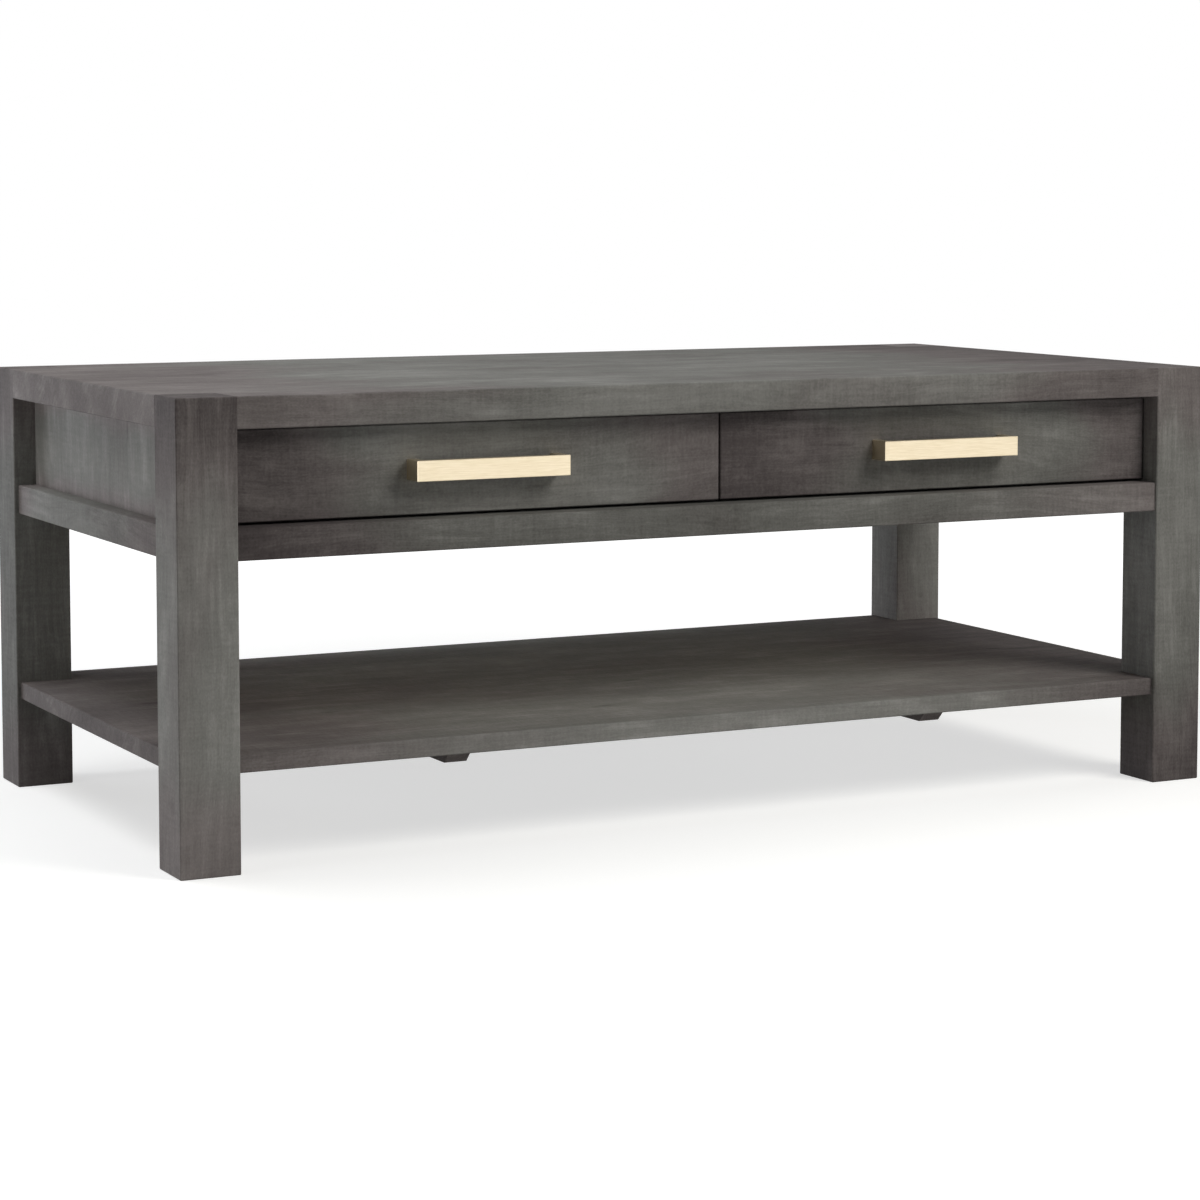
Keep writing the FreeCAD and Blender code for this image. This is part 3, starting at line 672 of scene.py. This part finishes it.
# %% [markdown]
# ## Head of a screw
#
# The head is a cone cut off short, and the driver turns it by a cross recess. Two bars are cut out of the
# cone, centred on its top so that their lower halves make the recess. One bar goes a little deeper,
# because a cut whose floor lies exactly in the floor of another is hard for a Boolean to solve.

# %% Tree: head of a screw
head_sides = 24
bars = [("Bar length", "Bar width", "Bar height"), ("Bar width", "Bar length", "Deeper bar height")]
head = add(screw_tree, "GeometryNodeMeshCone", {
    "Vertices": head_sides, "Radius Top": screw_size["Top radius"],
    "Radius Bottom": screw_size["Foot radius"], "Depth": screw_size["Head height"]}).outputs["Mesh"]
head_top = add(screw_tree, "ShaderNodeCombineXYZ", {"Z": screw_size["Head height"]}).outputs[0]
for bar_sizes in bars:
    block = add(screw_tree, "ShaderNodeCombineXYZ", {
        n: part_size[name] for n, name in enumerate(bar_sizes)})
    bar = add(screw_tree, "GeometryNodeMeshCube", {"Size": block.outputs[0]})
    raised = add(screw_tree, "GeometryNodeTransform", {
        "Geometry": bar.outputs["Mesh"], "Translation": head_top})
    head = add(screw_tree, "GeometryNodeMeshBoolean", {"Mesh 1": head, "Mesh 2": raised.outputs[0]},
               operation="DIFFERENCE").outputs["Mesh"]
print("screw head with", head_sides, "sides and", len(bars), "bars cut out")

# %% [markdown]
# ## Shank, point and thread
#
# Under the head comes a round shank with a point. A three-sided rod that winds round the shank is the
# thread, which gives the eye its fine steps in a few faces.

# %% Tree: shank, point and thread of a screw
shank_sides, thread_steps, ridge_sides = 12, 12, 3
shaft = add(screw_tree, "GeometryNodeMeshCylinder", {
    "Vertices": shank_sides, "Radius": screw_size["Shank radius"], "Depth": shaft_length}).outputs["Mesh"]
point = add(screw_tree, "GeometryNodeMeshCone", {
    "Vertices": shank_sides, "Radius Top": screw_size["Shank radius"],
    "Radius Bottom": part_size["Tip radius"], "Depth": part_size["Point length"]}).outputs["Mesh"]
windings = add(screw_tree, "ShaderNodeMath", {0: shaft_length, 1: screw_size["Thread pitch"]},
               operation="DIVIDE")
helix = add(screw_tree, "GeometryNodeCurveSpiral", {
    "Resolution": thread_steps, "Rotations": windings.outputs[0], "Height": shaft_length,
    "Start Radius": screw_size["Shank radius"], "End Radius": screw_size["Shank radius"]})
ridge = add(screw_tree, "GeometryNodeCurvePrimitiveCircle", {
    "Resolution": ridge_sides, "Radius": part_size["Ridge radius"]})
thread = add(screw_tree, "GeometryNodeCurveToMesh", {
    "Curve": helix.outputs[0], "Profile Curve": ridge.outputs["Curve"], "Fill Caps": True}).outputs[0]
print("thread in", thread_steps, "steps a turn")

# %% [markdown]
# ## The whole screw
#
# Each part was made round the origin, so each is moved down to its place first. A Boolean then joins
# head, shank and point into one closed body with no walls left inside, and the thread is laid on it. The
# points on which the screws are placed carry a turn as an attribute.

# %% Tree: join a screw and place it
core = add(screw_tree, "GeometryNodeMeshBoolean", operation="UNION", solver="EXACT")
screw = add(screw_tree, "GeometryNodeJoinGeometry")
screw_tree.links.new(head, core.inputs["Mesh 2"])
screw_tree.links.new(core.outputs["Mesh"], screw.inputs[0])
lowered_parts = [
    # part, the share of a length that it goes down by, that length, what it joins
    (shaft, -0.5, shaft_length, core.inputs["Mesh 2"]),
    (point, -1.0, screw_size["Length"], core.inputs["Mesh 2"]),
    (thread, -1.0, shaft_length, screw.inputs[0]),
]
for part, share, length, joined in lowered_parts:
    drop = add(screw_tree, "ShaderNodeMath", {0: length, 1: share}, operation="MULTIPLY")
    down = add(screw_tree, "ShaderNodeCombineXYZ", {"Z": drop.outputs[0]})
    lowered = add(screw_tree, "GeometryNodeTransform", {"Geometry": part, "Translation": down.outputs[0]})
    screw_tree.links.new(lowered.outputs[0], joined)

turn_of_place = add(screw_tree, "GeometryNodeInputNamedAttribute", {"Name": "turn"},
                    data_type="FLOAT_VECTOR")
head_way = add(screw_tree, "FunctionNodeEulerToRotation", {0: turn_of_place.outputs[0]})
placed = add(screw_tree, "GeometryNodeInstanceOnPoints", {
    "Points": screw_size["Places"], "Instance": screw.outputs[0], "Rotation": head_way.outputs[0]})
end_tree(screw_tree, placed.outputs[0], screw_size["Finish"])

# %% [markdown]
# ## Where the screws go
#
# A screw turns from upright to the way its head faces: towards the back inside a drawer, down under a
# batten, and sideways on a slide. The places come from the boxes of the solids that the screws hold.

# %% Screws: pulls and drawer fronts
quarter = math.pi / 2
HEAD_BACK = (-quarter, 0.0, 0.0)
wood_screw = {"Top radius": 3.7 * MM, "Foot radius": 2.0 * MM, "Head height": 2.0 * MM,
              "Shank radius": 1.6 * MM, "Length": 25.0 * MM, "Thread pitch": 1.8 * MM}
pull_screw = {"Top radius": 3.2 * MM, "Foot radius": 4.0 * MM, "Head height": 2.4 * MM,
              "Shank radius": 1.8 * MM, "Length": 42.0 * MM, "Thread pitch": 0.7 * MM}
pull_hole_spacing = 160 * MM
front_screw_width_share = 0.4            # of the box's width, each way from the middle of the drawer
front_screw_height_shares = (0.22, 0.78)
sunk = 0.1 * MM                          # flat heads below the face of the wood

for hand in ("left", "right"):
    low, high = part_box(f"{hand}_drawer_box_front")
    pull_low, pull_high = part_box(f"{hand}_drawer_pull")
    floor_of_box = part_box(f"{hand}_drawer_bottom")[1].z
    middle = (pull_low + pull_high) / 2
    places = [(middle.x + side * pull_hole_spacing / 2, high.y, middle.z) for side in (-1, 1)]
    make_piece(f"{hand}_pull_machine_screws", screw_tree, places, f"drawer_{hand}", pull_screw, zinc,
               turns=[HEAD_BACK] * 2, replaced=[f"{hand}_pull_screws"])
    walls = [corner.x for wall in ("leg_side", "divider_side")
             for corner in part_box(f"{hand}_drawer_side_{wall}")]
    aside = front_screw_width_share * (max(walls) - min(walls))
    places = [(middle.x + side * aside, high.y - wood_screw["Head height"] - sunk,
               floor_of_box + share * (high.z - floor_of_box))
              for side in (-1, 1) for share in front_screw_height_shares]
    make_piece(f"{hand}_front_wood_screws", screw_tree, places, f"drawer_{hand}", wood_screw, zinc,
               turns=[HEAD_BACK] * 4, replaced=[f"{hand}_front_screws"])

# %% Screws: battens under the shelf
HEAD_DOWN = (math.pi, 0.0, 0.0)
batten_screw = dict(wood_screw, Length=30 * MM)
batten_screw_spacing = 192 * MM
places = []
for side in ("left", "right"):
    low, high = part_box(f"shelf_batten_{side}")
    foot = low.z + batten_screw["Head height"] + sunk
    places += [((low.x + high.x) / 2, step * batten_screw_spacing, foot) for step in (-1, 0, 1)]
make_piece("batten_wood_screws", screw_tree, places, "table", batten_screw, zinc,
           turns=[HEAD_DOWN] * 6, replaced=["batten_screws"])

# %% [markdown]
# ## Screws of the slides
#
# A ball-bearing slide is three pressed channels, one inside the other, with balls running between their
# edges. The outer channel is screwed to the case by flat heads, which the middle one can pass, and the
# inner channel is screwed to the drawer by pan heads.

# %% Screws: slides
HEAD_RIGHT = (0.0, quarter, 0.0)
HEAD_LEFT = (0.0, -quarter, 0.0)
slide_setback = 57 * MM                  # from the end of a slide to its first screw
channel_sheet = 1.2 * MM                 # thickness of the pressed steel
flush_gap = 0.05 * MM
flat_slide_screw = dict(wood_screw, **{"Top radius": 3.4 * MM, "Head height": 1.8 * MM, "Length": 9 * MM})
pan_slide_screw = dict(pull_screw, **{"Top radius": 2.7 * MM, "Foot radius": 3.4 * MM,
                                      "Head height": 1.7 * MM, "Length": 11 * MM, "Thread pitch": 1.6 * MM})
flat_depth = flat_slide_screw["Head height"] - flush_gap
case_places, case_turns = [], []
for hand, outward in (("left", -1), ("right", 1)):
    drawer_places, drawer_turns = [], []
    for wall, facing in (("leg_side", outward), ("divider_side", -outward)):
        low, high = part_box(f"{hand}_case_member_{wall}")
        drawer_low, drawer_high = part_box(f"{hand}_drawer_member_{wall}")
        case_face = high.x if facing > 0 else low.x
        web = case_face - facing * channel_sheet
        drawer_web = (drawer_low.x if facing > 0 else drawer_high.x) + facing * channel_sheet
        height = (low.z + high.z) / 2
        for y in (low.y + slide_setback, (low.y + high.y) / 2, high.y - slide_setback):
            case_places.append((web + facing * flat_depth, y, height))
            case_turns.append(HEAD_LEFT if facing > 0 else HEAD_RIGHT)
            drawer_places.append((drawer_web, y, height))
            drawer_turns.append(HEAD_RIGHT if facing > 0 else HEAD_LEFT)
    make_piece(f"{hand}_drawer_slide_screws", screw_tree, drawer_places, f"drawer_{hand}", pan_slide_screw,
               zinc, turns=drawer_turns)
make_piece("case_slide_screws", screw_tree, case_places, "table", flat_slide_screw, zinc, turns=case_turns)

# %% [markdown]
# ## Balls of the slides
#
# The balls sit in rows, each row held by a thin strip called a retainer. A line for each row is enough to
# place them: the tree cuts the line into as many points as there are balls, puts a ball on each point and
# draws a flat section along the line for the strip.

# %% Tree: rows of balls in their retainers
ball_tree, ball_size = new_tree("ball_rows", ["Ball radius", "Strip width", "Strip thickness"])
balls_in_row = 12
ball_roundness = 2                       # each step cuts the faces of a ball into four
row = add(ball_tree, "GeometryNodeMeshToCurve", {0: ball_size["Places"]}).outputs[0]
seats = add(ball_tree, "GeometryNodeResampleCurve", {"Curve": row, "Count": balls_in_row})
ball = add(ball_tree, "GeometryNodeMeshIcoSphere", {
    "Radius": ball_size["Ball radius"], "Subdivisions": ball_roundness})
smooth = add(ball_tree, "GeometryNodeSetShadeSmooth", {"Geometry": ball.outputs["Mesh"]})
balls = add(ball_tree, "GeometryNodeInstanceOnPoints", {
    "Points": seats.outputs[0], "Instance": smooth.outputs[0]})
section = add(ball_tree, "GeometryNodeCurvePrimitiveQuadrilateral", {
    "Width": ball_size["Strip width"], "Height": ball_size["Strip thickness"]})
strip = add(ball_tree, "GeometryNodeCurveToMesh", {
    "Curve": row, "Profile Curve": section.outputs[0], "Fill Caps": True})
rows = add(ball_tree, "GeometryNodeJoinGeometry")
for part in (balls, strip):
    ball_tree.links.new(part.outputs[0], rows.inputs[0])
end_tree(ball_tree, rows.outputs[0], ball_size["Finish"])

# %% [markdown]
# ## Where the balls go
#
# Two pairs of rows run in each slide: one between the outer and the middle channel, one between the
# middle and the inner. They ride with the middle one. Bearing balls are ground and polished, so their
# steel is smoother and brighter than the zinc plate round them.

# %% Rows of balls
ball_sizes = {"Ball radius": 1.75 * MM, "Strip width": 3.0 * MM, "Strip thickness": 0.5 * MM}
ball_steel = brushed_metal("polished_ball_steel", "#B4B7BA", "#CDD0D2", "Y", rolled_length, (0.20, 0.12))
ball_rows = [
    # mm from the case, mm above and below the middle, first and last ball as shares of the slide's length
    (3.25, 19.25, 0.56, 0.94),
    (7.84, 16.6, 0.06, 0.44),
]
for hand, outward in (("left", -1), ("right", 1)):
    places, lines = [], []
    for wall, facing in (("leg_side", outward), ("divider_side", -outward)):
        low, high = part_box(f"{hand}_case_member_{wall}")
        case_face = high.x if facing > 0 else low.x
        for out, up, first, last in ball_rows:
            x = case_face - facing * out * MM
            for z in ((low.z + high.z) / 2 + up * MM, (low.z + high.z) / 2 - up * MM):
                lines.append((len(places), len(places) + 1))
                places += [(x, low.y + share * (high.y - low.y), z) for share in (first, last)]
    make_piece(f"{hand}_steel_balls", ball_tree, places, f"slide_middle_{hand}", ball_sizes, ball_steel,
               lines=lines, replaced=[f"{hand}_slide_balls"])
